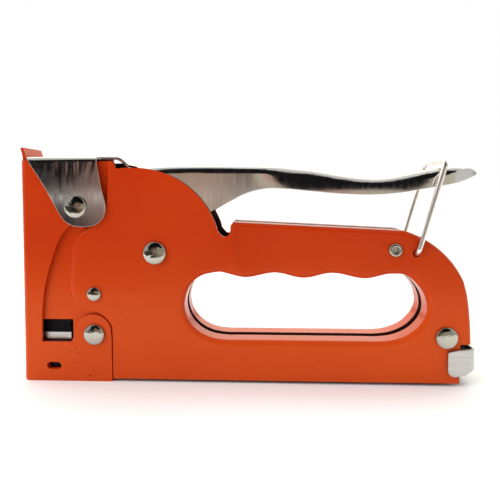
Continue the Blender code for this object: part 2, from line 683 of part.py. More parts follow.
def make_striker():
    """Striker block with foot and two catch lugs, its blade, spring, spring seat and bumper."""
    recess_inner = BODY_HALF - RECESS - SHEET
    half = recess_inner - GAP
    front = FRONT_X + SHEET + GAP
    blade = (front, front + 0.8)
    plate_x = (blade[1] + GAP, blade[1] + GAP + 1.2)
    low, high = STRIKER_FOOT_Z
    block = box("striker_block", (plate_x[0], -65.0), (-half, half), (low, high))
    back = box("join_striker_plate", plate_x, (-half, half), (low + 0.5, STRIKER_TOP_Z), cutter=True)
    boolean(block, back, "UNION")
    for side in (-1, 1):
        y = sorted((side * half, side * (half - 1.3)))
        lug = box(f"join_striker_lug_{side + 1}", (plate_x[0] + 0.4, -66.8), y, (43.2, 46.2), cutter=True)
        boolean(block, lug, "UNION")
    finish(block, "steel", STEEL)
    finish(box("driver_blade", blade, (-STAPLE_HALF, STAPLE_HALF), (0.4, 46.0)), "steel", STEEL)
    seat_top = CAP_TOP_Z - CAP_SHEET - GAP
    peg = [(0.0, seat_top), (4.9, seat_top), (4.9, seat_top - 2.2), (3.0, seat_top - 2.2),
           (2.6, seat_top - 9.0), (0.0, seat_top - 9.0)]
    finish(turned("spring_seat", peg, (SPRING_X, 0.0, 0.0), axis="Z", steps=14), "steel", STEEL)
    cup = box("spring_cup", (plate_x[1] + GAP, -65.4), (-half + 0.2, half - 0.2),
              (high + GAP, high + GAP + CUP_HEIGHT))
    cup_inner = half - 0.2 - CUP_SHEET
    boolean(cup, box("cut_cup", (-90.0, -50.0), (-cup_inner, cup_inner),
                     (high + GAP + CUP_SHEET, high + 40.0), cutter=True))
    finish(cup, "dark_steel", SPRING_STEEL)
    ends = (high + 2 * GAP + CUP_SHEET + SPRING_WIRE, seat_top - 2.2 - GAP - SPRING_WIRE)
    spring = coil((SPRING_X, 0.0), SPRING_RADIUS, *ends, 13, SPRING_WIRE, "Z")
    finish(wire("main_spring", spring, SPRING_WIRE), "spring_steel", SPRING_STEEL)
    mag_top = MAG_BOTTOM_Z + 10.4
    bumper = box("bumper", (plate_x[0] + 0.6, -64.6), (-half, half), (mag_top + GAP, low - GAP))
    finish(bumper, "rubber", RUBBER)
    return [block, cup, bpy.data.objects["driver_blade"]], plate_x


def make_magazine(plate_x):
    """Fixed staple channel with the rail, rod, pusher, spring and tab that draw out of its rear."""
    outer = STAPLE_HALF + GAP + MAG_SHEET
    inner = STAPLE_HALF + GAP
    top = MAG_BOTTOM_Z + 10.4
    front = plate_x[0]
    mag = box("magazine_channel", (front, MOUTH_X - 0.5), (-outer, outer), (MAG_BOTTOM_Z, top))
    boolean(mag, box("cut_magazine", (front - 5, MOUTH_X + 5), (-inner, inner),
                     (MAG_BOTTOM_Z - 5, top - MAG_SHEET), cutter=True))
    finish(mag, "zinc", ZINC)

    rail_top = MAG_BOTTOM_Z + STAPLE_LEG
    rail_end = 78.2
    rail = box("staple_rail", (front, rail_end), (-RAIL_HALF, RAIL_HALF), (MAG_BOTTOM_Z, rail_top))
    wall = MAG_SHEET
    boolean(rail, box("cut_rail", (front - 5, rail_end - 1.2), (-RAIL_HALF + wall, RAIL_HALF - wall),
                      (MAG_BOTTOM_Z + wall, rail_top + 5), cutter=True))
    boolean(rail, box("cut_rail_heel", (MOUTH_X - 0.2, rail_end + 5), (-15.0, 15.0),
                      (MAG_BOTTOM_Z - 5, MAG_BOTTOM_Z + 4.0), cutter=True))
    finish(rail, "zinc", ZINC)

    rod_z = MAG_BOTTOM_Z + 4.4
    rod_end = rail_end - 1.2 - GAP
    rod = turned("guide_rod", [(0.0, rod_end), (0.8, rod_end), (0.8, front + 4), (0.0, front + 4)],
                 (0.0, 0.0, rod_z), axis="Z", steps=8)
    rod.rotation_euler = (0.0, math.pi / 2, 0.0)
    finish(rod, "steel", STEEL)

    pusher_x = (front + 0.8, front + 14.0)
    body_half = RAIL_HALF - wall - GAP
    pusher = box("pusher", pusher_x, (-body_half, body_half), (MAG_BOTTOM_Z + wall + GAP, rail_top + 0.9))
    saddle = box("join_pusher_saddle", pusher_x, (-STAPLE_HALF, STAPLE_HALF),
                 (rail_top + GAP, rail_top + 1.3), cutter=True)
    boolean(pusher, saddle, "UNION")
    bore = turned("cut_pusher_bore", [(0.0, 40.0), (0.8 + GAP, 40.0), (0.8 + GAP, -40.0), (0.0, -40.0)],
                  (pusher_x[0], 0.0, rod_z), axis="Z", steps=8, cutter=True)
    bore.rotation_euler = (0.0, math.pi / 2, 0.0)
    boolean(pusher, bore)
    finish(pusher, "steel", STEEL)

    spring_ends = (pusher_x[1] + GAP + 0.3, rod_end - 0.3)
    points = coil((0.0, rod_z), 1.9, *spring_ends, 20, 0.3, "X", per_turn=8)
    finish(wire("pusher_spring", points, 0.3, 0), "spring_steel", SPRING_STEEL)

    tab_half = BODY_HALF + GAP + CAP_SHEET
    tab = plate("rear_latch_tab", [tab_loop()], -tab_half, tab_half)
    boolean(tab, box("cut_tab", (60.0, rail_end + GAP), (-tab_half + CAP_SHEET, tab_half - CAP_SHEET),
                     (-5.0, 30.0), cutter=True))
    finish(tab, "zinc_bright", ZINC)
    return rail, rod, pusher, tab


def main():
    shells = make_shells()
    make_channel(shells)
    make_cap()
    lever = make_lever()
    lifter = make_lifter()
    tube("pivot_bush", *PIVOT, PIVOT_SHANK + GAP + BUSH_WALL, PIVOT_SHANK + GAP,
         LIFTER_OUTER - LIFTER_SHEET - GAP, "steel", STEEL)
    make_return_spring()
    make_rivets()
    for name, rivet in (("nose_spacer", "nose_rivet"), ("handle_spacer", "handle_rivet"),
                        ("rear_spacer", "rear_rivet")):
        x, z, _, shank, _ = RIVETS[rivet]
        half = BODY_HALF - SHEET - GAP - (RECESS if rivet == "nose_rivet" else 0.0)
        tube(name, x, z, shank + GAP + 1.0, shank + GAP, half, "steel", STEEL)
    bail = make_bail()
    striker, plate_x = make_striker()
    rail, rod, pusher, tab = make_magazine(plate_x)

    hang(joint_empty("lever_hinge", *PIVOT), lever, lifter)
    hang(joint_empty("bail_hinge", *BAIL_PIVOT), bail)
    hang(joint_empty("striker_slide", SPRING_X, STRIKER_FOOT_Z[0]), *striker)
    rail_empty = joint_empty("rail_slide", TAIL_X, MAG_BOTTOM_Z)
    hang(rail_empty, rail, rod, tab, bpy.data.objects["pusher_spring"])
    hang(joint_empty("pusher_slide", pusher.matrix_world.translation.x, MAG_BOTTOM_Z), pusher)


main()
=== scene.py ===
"""Hand staple gun: the visible pieces and their looks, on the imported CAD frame."""

import math

import bmesh
import bpy
from mathutils import Matrix, Vector


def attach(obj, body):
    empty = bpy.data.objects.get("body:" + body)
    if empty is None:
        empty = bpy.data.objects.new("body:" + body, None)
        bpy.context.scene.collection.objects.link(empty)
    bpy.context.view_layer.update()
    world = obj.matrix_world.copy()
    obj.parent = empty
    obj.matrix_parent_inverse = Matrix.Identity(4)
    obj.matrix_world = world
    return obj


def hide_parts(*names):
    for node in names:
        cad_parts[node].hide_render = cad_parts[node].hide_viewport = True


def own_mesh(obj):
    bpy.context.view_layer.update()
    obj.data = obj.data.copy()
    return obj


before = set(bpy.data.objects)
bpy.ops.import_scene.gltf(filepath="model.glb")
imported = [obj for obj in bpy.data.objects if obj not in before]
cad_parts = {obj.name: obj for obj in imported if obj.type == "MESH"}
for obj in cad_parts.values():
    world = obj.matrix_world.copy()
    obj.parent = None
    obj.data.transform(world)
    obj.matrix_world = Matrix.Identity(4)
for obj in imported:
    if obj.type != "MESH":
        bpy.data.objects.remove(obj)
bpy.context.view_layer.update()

MM = 0.001

# Sizes in mm. X runs from the nose to the tail, Y across and Z up; a pair is a place as (x, z).
BODY_HALF = 9.2  # half the width over the two shells
SHEET = 1.0  # thickness of a shell
ROLL = 1.8  # outer radius of a shell's rolled edge
SEAM = 3.4  # space between the rolled edges of the two shells
GAP = 0.3  # play between neighbouring pieces
RECESS = SHEET + GAP  # depth of the pressed-in nose area
TAIL_CENTRE = (45.7, 23.3)  # of the arc over the handle's rear corner
TAIL_RADIUS = 32.9
TAIL_X = 78.5  # the rear edge, where it meets the step for the tab
TAIL_STEP_Z = 15.2
SHELL_BOTTOM_Z = 1.1
MOUTH_X = 74.3  # the edge in front of the tab
HANDLE_LEFT_Z = 58.0  # the handle's top at its front end
SHOULDER_CENTRE = (-40.3, 46.2)  # of the arc under the lever
SHOULDER_RADIUS = 30.8
FRONT_X = -81.1  # the nose's front face at its top
FRONT_LEAN = 0.8  # how much further forward its foot stands
NOSE_TOP_Z = 79.7
CAP_SHEET = 0.8
CAP_TOP_Z = 80.9
CAP_BEND = 1.8  # outer radius of the cap's bends
LEVER_HALF = 7.7
LEVER_SHEET = 1.2
LEVER_BEND = 3.0  # outer radius of the lever's bends
LEVER_EYE = 8.2  # radius of the cheeks round the pivot
LEVER_TIP_X = 81.7
PIVOT = (-33.2, 46.9)
PIVOT_SHANK = 2.5
BAIL_WIRE = 0.9  # radius of the bail's wire
BAIL_HALF = 10.9
BAIL_PIVOT = (58.5, 47.1)
BAIL_TOP = (67.4, 79.1)
THROUGH = 20.0  # half the length of a cutter that passes through every piece
TONGUE_HALF = 7.0  # half the width of the cap's tongue and of the nose's lip

# The rivets: x, z, radius of the head, radius of the shank, half the width that they hold together.
RIVETS = {
    "cap_rivet": (-60.85, 63.3, 3.9, 1.6, BODY_HALF + GAP + CAP_SHEET),
    "lever_pivot_rivet": (PIVOT[0], PIVOT[1], 4.05, PIVOT_SHANK, BODY_HALF),
    "stop_rivet": (-55.3, 32.0, 2.45, 1.3, BODY_HALF),
    "nose_rivet": (-55.45, 17.3, 3.7, 1.8, BODY_HALF),
    "handle_rivet": (51.2, 48.3, 2.4, 1.4, BODY_HALF),
    "rear_rivet": (69.5, 17.5, 3.8, 1.8, BODY_HALF),
}


# ---------------------------------------------------------------- outlines

def smooth(points, steps, closed=False):
    """A smooth line through the points, with so many steps from each to the next."""
    n = len(points)
    out = []
    for i in range(n if closed else n - 1):
        ids = [(i + k) % n if closed else min(max(i + k, 0), n - 1) for k in (-1, 0, 1, 2)]
        a, b, c, d = [points[k] for k in ids]
        for s in range(steps):
            t = s / steps
            out.append(tuple(
                0.5 * (2 * b[k] + (c[k] - a[k]) * t + (2 * a[k] - 5 * b[k] + 4 * c[k] - d[k]) * t * t
                       + (3 * b[k] - a[k] - 3 * c[k] + d[k]) * t ** 3) for k in (0, 1)))
    return out if closed else out + [tuple(points[-1])]


def arc(centre, radius, start, end, steps):
    """Points of an arc between two bearings in degrees."""
    turns = [math.radians(start + (end - start) * i / steps) for i in range(steps + 1)]
    return [(centre[0] + radius * math.cos(t), centre[1] + radius * math.sin(t)) for t in turns]


def moved_out(loop, distance):
    """A counterclockwise loop with each edge moved outward, by one distance or by one for each edge."""
    n = len(loop)
    dist = [distance] * n if isinstance(distance, (int, float)) else distance
    edges = []
    for i in range(n):
        a, b = Vector(loop[i]), Vector(loop[(i + 1) % n])
        along = (b - a).normalized()
        edges.append((a + Vector((along.y, -along.x)) * dist[i], along))
    out = []
    for i in range(n):
        (p, u), (q, v) = edges[i - 1], edges[i]
        turn = u.x * v.y - u.y * v.x
        if abs(turn) < 0.02:
            out.append(tuple((q + p + u * (q - p).dot(u)) / 2))
        else:
            s = ((q - p).x * v.y - (q - p).y * v.x) / turn
            out.append(tuple(p + u * s))
    return out


def grip_wave():
    """The grip's waves, from the rear: hollows for the fingers and the ridges between them."""
    turns = [(50.6, 39.7), (41.1, 38.0), (29.7, 39.85), (19.5, 38.05), (9.4, 39.85), (-1.0, 38.15),
             (-11.0, 39.95)]
    steps = 4
    out = []
    for (x0, z0), (x1, z1) in zip(turns, turns[1:]):
        for i in range(steps):
            t = i / steps
            out.append((x0 + (x1 - x0) * t, z0 + (z1 - z0) * (1 - math.cos(math.pi * t)) / 2))
    return out + turns[-1:]


def finger_hole(grow):
    """The finger hole's outline, moved out by grow."""
    wave = grip_wave()
    left = [(-16.9, 38.6), (-20.8, 35.2), (-22.7, 30.3), (-22.7, 26.0), (-21.0, 21.8),
            (-17.7, 18.4), (-13.3, 16.3), (-8.0, 15.5)]
    low = [(-2.5, 15.5), (20.0, 15.5), (41.0, 15.5)]
    right = [(46.5, 15.5), (52.3, 16.3), (57.6, 18.7), (61.2, 22.3), (62.8, 26.0), (62.7, 29.7),
             (61.4, 33.3), (58.6, 36.9), (55.0, 39.4)]
    return moved_out(smooth(wave + left + low + right, 4, closed=True), grow)


def body_loop(inset, margin):
    """The body's outline: inset along its rear and top, left oversize by margin where trim_loop cuts it."""
    flat_x, front_x, top = 54.4, -7.5, 81.0 + margin
    tail_end = math.degrees(math.acos((flat_x - TAIL_CENTRE[0]) / TAIL_RADIUS))
    tail = arc(TAIL_CENTRE, TAIL_RADIUS, 25.0, tail_end, 24)
    rear = smooth([(TAIL_X, TAIL_STEP_Z), (TAIL_X - 0.3, 21.0), (TAIL_X - 0.8, 26.2),
                   (TAIL_X - 1.6, 32.0), tail[0]], 3)[:-1]
    far = [(front_x, 66.0), (-20.0, top), (FRONT_X - margin, top), (FRONT_X - margin, -margin)]
    rolled = [(TAIL_X + 0.3, -margin)] + rear + tail
    loop = rolled + [(front_x, HANDLE_LEFT_Z)] + far
    return moved_out(loop, [-inset] * len(rolled) + [0.0] * (len(loop) - len(rolled)))


def trim_loop():
    """A shell's cut edges: foot, step for the tab, notch in front of the handle, shoulder and horn."""
    bottom = [(FRONT_X + 1.5 - FRONT_LEAN, SHELL_BOTTOM_Z), (MOUTH_X, SHELL_BOTTOM_Z),
              (MOUTH_X, TAIL_STEP_Z - 0.2)]
    proud = [(TAIL_X + 5, TAIL_STEP_Z), (TAIL_X + 5, 62.0), (-5.2, 62.0)]
    notch = smooth([(-5.6, HANDLE_LEFT_Z - 0.4), (-6.3, 56.5), (-6.4, 54.6), (-7.3, 53.1),
                    (-8.8, 52.8), (-10.1, 53.9), (-11.0, 55.2)], 4)
    shoulder = arc(SHOULDER_CENTRE, SHOULDER_RADIUS, 17.6, 93.0, 48)[1:]
    horn = smooth([(-44.6, 77.0), (-46.1, 76.7), (-47.0, 77.2), (-47.6, 78.7), (-48.6, 79.4)], 4)
    return bottom + proud + notch + shoulder + horn + [(FRONT_X + 1.5, 79.4)]


# The rear edge of the pressed-in nose area, from its foot up.
RECESS_EDGE = [(-48.9, -5.0), (-48.9, 4.0), (-48.9, 18.0), (-50.0, 21.8), (-53.4, 25.0), (-58.2, 25.9),
               (-61.4, 27.6), (-62.4, 31.5), (-62.3, 38.0), (-61.6, 47.8), (-60.3, 52.2), (-56.3, 55.3),
               (-51.8, 59.0), (-49.7, 65.7), (-48.7, 78.0), (-48.5, 90.0)]


def recess_loop(shift=0.0, slope=0.0):
    """The nose area, its edge moved back by shift and forward by slope, by a tenth of it low down."""
    steep_z, fade = 26.0, 4.0
    edge = smooth(RECESS_EDGE, 4)
    loop = edge + [(-100.0, 90.0), (-100.0, -5.0)]
    dist = []
    for (_, z0), (_, z1) in zip(edge, edge[1:]):
        wide = min(max(((z0 + z1) / 2 - steep_z) / fade, 0.0), 1.0)
        dist.append(shift - slope * (0.1 + 0.9 * wide))
    return moved_out(loop, dist + [0.0] * 3)


def channel_loop():
    """The front channel from the side: rounded toe, ear round the nose rivet, flap up to the cap."""
    toe_radius = 1.8
    toe = arc((FRONT_X - FRONT_LEAN + toe_radius, toe_radius), toe_radius, 180, 270, 10)
    ear = arc((-56.0, 17.9), 6.6, 10, 168, 28)
    flap = smooth([(-74.8, 14.4), (-74.4, 25.3), (-73.3, 34.2), (-70.9, 43.1), (-67.2, 52.3),
                   (-63.4, 56.6), (-59.5, 58.9), (-56.6, 61.2), (-55.6, 65.5)], 5)
    return ([(-49.3, 0.0), (-49.3, 15.5)] + ear + [(-63.0, 16.6), (-63.9, 14.4)] + flap
            + [(-55.6, NOSE_TOP_Z), (FRONT_X - 0.1, NOSE_TOP_Z)] + toe)


def cap_loop():
    """The cap from the side: two slanting edges that meet round its rivet."""
    edge = smooth([(-53.4, 79.9), (-51.7, 69.9), (-50.4, 64.2), (-50.8, 60.4), (-53.2, 57.4),
                   (-56.6, 56.3), (-61.5, 56.4), (-64.4, 57.8), (-66.5, 60.2), (-72.1, 70.4),
                   (-78.3, 80.4)], 5)
    return [(-53.5, 90.0)] + edge + [(-78.3, 90.0)]


# The lever's upper and lower lines, from the tip to the pivot and back.
LEVER_TOP = [(LEVER_TIP_X, 75.0), (79.6, 76.0), (77.2, 77.0), (73.5, 77.5), (68.0, 77.1), (62.2, 76.2),
             (56.9, 75.1), (50.3, 73.9), (43.6, 73.5), (33.5, 74.6), (23.4, 76.3), (9.9, 77.6),
             (-3.7, 77.9), (-17.4, 78.0), (-30.0, 77.9), (-37.3, 77.3)]
LEVER_UNDER = [(-24.8, 49.5), (-22.5, 54.0), (-19.0, 57.6), (-13.8, 61.3), (-7.0, 65.2), (-0.5, 68.3),
               (6.5, 69.8), (13.2, 69.7), (23.3, 68.8), (33.3, 67.9), (43.2, 67.6), (53.1, 68.3),
               (59.7, 69.4), (66.2, 70.5), (72.7, 71.8), (78.0, 73.6)]


def lever_loop(top):
    """The lever from the side with its cheeks, raised by top above its upper line."""
    upper = smooth(LEVER_TOP, 4)
    eye = arc(PIVOT, LEVER_EYE, 180, 360, 24)
    loop = upper + [(-41.0, 58.0)] + eye + smooth(LEVER_UNDER, 4)
    return moved_out(loop, [top] * (len(upper) - 1) + [0.0] * (len(loop) - len(upper) + 1))


def lever_far_loop(inset, margin):
    """Everything below the lever's upper line, which is lowered by inset."""
    upper = smooth(LEVER_TOP, 4)
    front, front_z = LEVER_TOP[-1]
    far = [(front - margin, front_z), (front - margin, 30.0), (LEVER_TIP_X, 30.0)]
    return moved_out(upper + far, [-inset] * len(upper) + [0.0] * 3)


def lever_plan(inset):
    """The lever from above, as (x, y): straight sides and a half ellipse at the tip."""
    half, run = LEVER_HALF - inset, 13.0
    turns = [math.radians(a) for a in range(-90, 91, 5)]
    tip = [(LEVER_TIP_X - inset - run * (1 - math.cos(a)), half * math.sin(a)) for a in turns]
    return [(-60.0, -half)] + tip + [(-60.0, half)]


# ---------------------------------------------------------------- making meshes

def add(name, data):
    """A new object of the data, in the scene."""
    obj = bpy.data.objects.new(name, data)
    bpy.context.scene.collection.objects.link(obj)
    return obj


def settle(obj):
    """Applies every modifier, so the piece is a plain mesh at the origin."""
    bpy.context.view_layer.update()
    graph = bpy.context.evaluated_depsgraph_get()
    mesh = bpy.data.meshes.new_from_object(obj.evaluated_get(graph))
    mesh.transform(obj.matrix_world)
    name, old = obj.name, obj.data
    bpy.data.objects.remove(obj)
    if old.users == 0:
        (bpy.data.curves if isinstance(old, bpy.types.Curve) else bpy.data.meshes).remove(old)
    mesh.name = name
    return add(name, mesh)


def welded(obj, dist=2e-6):
    """Merges points closer than dist, in metres, and turns every face outward."""
    bm = bmesh.new()
    bm.from_mesh(obj.data)
    bmesh.ops.remove_doubles(bm, verts=bm.verts, dist=dist)
    bmesh.ops.recalc_face_normals(bm, faces=bm.faces)
    bm.to_mesh(obj.data)
    bm.free()
    return obj


def plate(name, loops, low, high, round_edge=0.0, plan=False, bevel_steps=4):
    """A plate of the loops from low to high along Y, or along Z for a plan, with its edges rounded."""
    curve = bpy.data.curves.new(name, "CURVE")
    curve.dimensions = "2D"
    curve.fill_mode = "BOTH"
    curve.extrude = ((high - low) / 2 - round_edge) * MM
    curve.bevel_depth = round_edge * MM
    curve.bevel_resolution = bevel_steps
    for loop in loops:
        spline = curve.splines.new("POLY")
        spline.points.add(len(loop) - 1)
        for point, (x, z) in zip(spline.points, loop):
            point.co = (x * MM, z * MM, 0.0, 1.0)
        spline.use_cyclic_u = True
    obj = add(name, curve)
    middle = (low + high) / 2 * MM
    obj.location = (0.0, 0.0, middle) if plan else (0.0, middle, 0.0)
    if not plan:
        obj.rotation_euler = (math.pi / 2, 0.0, 0.0)
    return welded(settle(obj))


def box(name, x, y, z, bevel=0.0):
    """A box between the pairs x, y and z, with its upright edges rounded."""
    mesh = bpy.data.meshes.new(name)
    bm = bmesh.new()
    bmesh.ops.create_cube(bm, size=1.0)
    bmesh.ops.scale(bm, vec=[(b - a) * MM for a, b in (x, y, z)], verts=bm.verts)
    bmesh.ops.translate(bm, vec=[(a + b) / 2 * MM for a, b in (x, y, z)], verts=bm.verts)
    if bevel:
        upright = [e for e in bm.edges if abs(e.verts[0].co.z - e.verts[1].co.z) > 1e-4]
        bmesh.ops.bevel(bm, geom=upright, offset=bevel * MM, segments=8, affect="EDGES",
                        profile=0.5)
    bm.to_mesh(mesh)
    bm.free()
    return add(name, mesh)


def turned(name, profile, x, z, steps):
    """A profile of (radius, height) pairs turned round an axis along Y at x, z."""
    mesh = bpy.data.meshes.new(name)
    bm = bmesh.new()
    verts = [bm.verts.new((r * MM, 0.0, h * MM)) for r, h in profile]
    for a, b in zip(verts, verts[1:]):
        bm.edges.new((a, b))
    bm.to_mesh(mesh)
    bm.free()
    obj = add(name, mesh)
    obj.location = (x * MM, 0.0, z * MM)
    obj.rotation_euler = (math.pi / 2, 0.0, 0.0)
    screw = obj.modifiers.new("turn", "SCREW")
    screw.angle = 2 * math.pi
    screw.steps = screw.render_steps = steps
    screw.use_merge_vertices = True
    screw.merge_threshold = 0.00001
    return settle(obj)


def drill(name, x, z, radius):
    """A round cutter through everything along Y."""
    profile = [(0.0, THROUGH), (radius, THROUGH), (radius, -THROUGH), (0.0, -THROUGH)]
    return turned(name, profile, x, z, 40)


def side_cutter(name, loop):
    """A cutter of a side outline, through everything along Y."""
    return plate(name, [loop], -THROUGH, THROUGH)


def wire(name, points, radius, sides=5):
    """A round wire through (x, y, z) points."""
    curve = bpy.data.curves.new(name, "CURVE")
    curve.dimensions = "3D"
    curve.bevel_depth = radius * MM
    curve.bevel_resolution = sides
    curve.use_fill_caps = True
    spline = curve.splines.new("POLY")
    spline.points.add(len(points) - 1)
    for point, co in zip(spline.points, points):
        point.co = (co[0] * MM, co[1] * MM, co[2] * MM, 1.0)
    return welded(settle(add(name, curve)))


def loft(name, rings):
    """A closed solid through rings of equal length, each a list of (x, y, z)."""
    mesh = bpy.data.meshes.new(name)
    bm = bmesh.new()
    rows = [[bm.verts.new(Vector(p) * MM) for p in ring] for ring in rings]
    for low, high in zip(rows, rows[1:]):
        for i in range(len(low)):
            j = (i + 1) % len(low)
            bm.faces.new((low[i], low[j], high[j], high[i]))
    bm.faces.new(rows[0][::-1])
    bm.faces.new(rows[-1])
    bmesh.ops.recalc_face_normals(bm, faces=bm.faces)
    bm.to_mesh(mesh)
    bm.free()
    return add(name, mesh)


def joined(name, objs):
    """Several separate closed meshes as one object, to cut with in one go."""
    bm = bmesh.new()
    for obj in objs:
        bm.from_mesh(obj.data)
        bpy.data.objects.remove(obj)
    mesh = bpy.data.meshes.new(name)
    bm.to_mesh(mesh)
    bm.free()
    return add(name, mesh)


def cut(obj, other, operation="DIFFERENCE"):
    """Cuts the object with the other one, which is used up."""
    mod = obj.modifiers.new("cut", "BOOLEAN")
    mod.operation = operation
    mod.object = other
    mod.solver = "EXACT"
    obj = settle(obj)
    bpy.data.objects.remove(other)
    return obj


def finish(obj, mat, body, node, angle=32.0, soften=0.0):
    """Smooth shading with sharp edges kept, the material, and the body that the piece rides on."""
    obj.data.materials.clear()
    obj.data.materials.append(mat)
    obj.data.shade_smooth()
    obj.data.set_sharp_from_angle(angle=math.radians(angle))
    if soften:
        bevel = obj.modifiers.new("edges", "BEVEL")
        bevel.width = soften * MM
        bevel.segments = 2
        bevel.limit_method = "ANGLE"
        bevel.angle_limit = math.radians(50)
        bevel.miter_outer = "MITER_ARC"
    weighted = obj.modifiers.new("normals", "WEIGHTED_NORMAL")
    weighted.keep_sharp = True
    weighted.weight = 90
    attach(obj, body)
    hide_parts(node)
    return obj


# ---------------------------------------------------------------- materials

def new_material(name):
    mat = bpy.data.materials.new(name)
    mat.use_nodes = True
    tree = mat.node_tree
    shader = tree.nodes["Principled BSDF"]
    coords = tree.nodes.new("ShaderNodeTexCoord").outputs["Object"]
    return mat, tree, shader, coords


def noise(tree, coords, scale, detail=3.0, stretch=(1, 1, 1)):
    mapping = tree.nodes.new("ShaderNodeMapping")
    mapping.inputs["Scale"].default_value = stretch
    tree.links.new(coords, mapping.inputs["Vector"])
    tex = tree.nodes.new("ShaderNodeTexNoise")
    tex.inputs["Scale"].default_value = scale
    tex.inputs["Detail"].default_value = detail
    tex.inputs["Roughness"].default_value = 0.55
    tree.links.new(mapping.outputs["Vector"], tex.inputs["Vector"])
    return tex.outputs["Fac"]


def ramp(tree, value, stops):
    """Maps a value through (position, colour or grey) stops."""
    node = tree.nodes.new("ShaderNodeValToRGB")
    elements = node.color_ramp.elements
    while len(elements) < len(stops):
        elements.new(0.5)
    for element, (pos, col) in zip(elements, stops):
        element.position = pos
        element.color = (col, col, col, 1.0) if isinstance(col, (int, float)) else (*col, 1.0)
    tree.links.new(value, node.inputs["Fac"])
    return node.outputs["Color"]


def math_node(tree, operation, a, b=0.0):
    """A sum or function of two values, each a socket or a number."""
    node = tree.nodes.new("ShaderNodeMath")
    node.operation = operation
    for socket, value in zip(node.inputs, (a, b)):
        if isinstance(value, (int, float)):
            socket.default_value = value
        else:
            tree.links.new(value, socket)
    return node.outputs[0]


def span(tree, value, low, high):
    """0 below low, 1 above high, smooth between; low may be the greater."""
    node = tree.nodes.new("ShaderNodeMapRange")
    node.interpolation_type = "SMOOTHSTEP"
    node.inputs["From Min"].default_value = low
    node.inputs["From Max"].default_value = high
    tree.links.new(value, node.inputs["Value"])
    return node.outputs["Result"]


def band(tree, value, low, low_end, high_end, high):
    """1 between low_end and high_end, falling to 0 at low and at high."""
    return math_node(tree, "MULTIPLY", span(tree, value, low, low_end), span(tree, value, high, high_end))


def mix(tree, factor, a, b):
    """Colour a where the factor is 0, b where it is 1."""
    node = tree.nodes.new("ShaderNodeMix")
    node.data_type = "RGBA"
    first, second = node.inputs[6], node.inputs[7]
    for socket, value in ((node.inputs["Factor"], factor), (first, a), (second, b)):
        if isinstance(value, tuple):
            socket.default_value = (*value, 1.0)
        elif isinstance(value, (int, float)):
            socket.default_value = value
        else:
            tree.links.new(value, socket)
    return node.outputs[2]


def bumped(tree, shader, heights, edge):
    """Chains bumps (height, distance in mm) over edges rounded by edge, in mm."""
    bevel = tree.nodes.new("ShaderNodeBevel")
    bevel.samples = 4
    bevel.inputs["Radius"].default_value = edge * MM
    normal = bevel.outputs["Normal"]
    for height, distance in heights:
        node = tree.nodes.new("ShaderNodeBump")
        node.inputs["Strength"].default_value = 1.0
        node.inputs["Distance"].default_value = distance * MM
        tree.links.new(height, node.inputs["Height"])
        tree.links.new(normal, node.inputs["Normal"])
        normal = node.outputs["Normal"]
    tree.links.new(normal, shader.inputs["Normal"])


def axes(tree, coords):
    """The x, y and z of a place, in metres."""
    node = tree.nodes.new("ShaderNodeSeparateXYZ")
    tree.links.new(coords, node.inputs[0])
    return node.outputs[0], node.outputs[1], node.outputs[2]


# Chips in the paint: the middle and the half sizes of each, in mm.
CHIPS = [((-62.4, -9.2, 12.2), (0.25, 2.0, 1.1)), ((-61.7, -9.2, 10.3), (0.45, 2.0, 0.5)),
         ((-63.0, -9.2, 6.5), (0.5, 2.0, 0.4)), ((-63.4, -9.2, 4.9), (0.8, 2.0, 0.2)),
         ((-64.3, -9.2, 10.8), (0.9, 2.0, 0.15)), ((-57.4, -9.2, 2.1), (0.7, 2.0, 0.45)),
         ((-39.1, -9.2, 43.7), (0.3, 2.0, 0.3)), ((-22.4, -9.2, 52.4), (0.3, 2.0, 0.3)),
         ((5.6, -9.2, 6.0), (0.25, 2.0, 0.4)), ((25.3, -9.2, 7.9), (0.3, 2.0, 0.3)),
         ((40.0, 9.2, 9.0), (0.5, 2.0, 0.4)), ((-30.0, 9.2, 12.0), (0.4, 2.0, 0.9))]


def speck(tree, coords, at, size):
    """1 inside a small ellipsoid at a place in mm, falling to 0 at its edge."""
    mapping = tree.nodes.new("ShaderNodeMapping")
    mapping.vector_type = "TEXTURE"
    mapping.inputs["Location"].default_value = [c * MM for c in at]
    mapping.inputs["Scale"].default_value = [c * MM for c in size]
    tree.links.new(coords, mapping.inputs["Vector"])
    length = tree.nodes.new("ShaderNodeVectorMath")
    length.operation = "LENGTH"
    tree.links.new(mapping.outputs["Vector"], length.inputs[0])
    return span(tree, length.outputs["Value"], 1.0, 0.6)


def chip_mask(tree, coords):
    """1 on the ragged chips, 0 on whole paint."""
    chips = None
    for at, size in CHIPS:
        spot = speck(tree, coords, at, size)
        chips = spot if chips is None else math_node(tree, "MAXIMUM", chips, spot)
    ragged = ramp(tree, noise(tree, coords, 1500.0, 3.0), [(0.0, 0.0), (0.42, 0.0), (0.50, 1.0)])
    return math_node(tree, "MULTIPLY", chips, ragged)


def notch_crease(tree, x, z):
    """1 along the short upright crease below the notch in front of the handle."""
    across = band(tree, x, -0.0085, -0.0055, -0.0055, -0.0025)
    return math_node(tree, "MULTIPLY", across, span(tree, z, 0.038, 0.046))


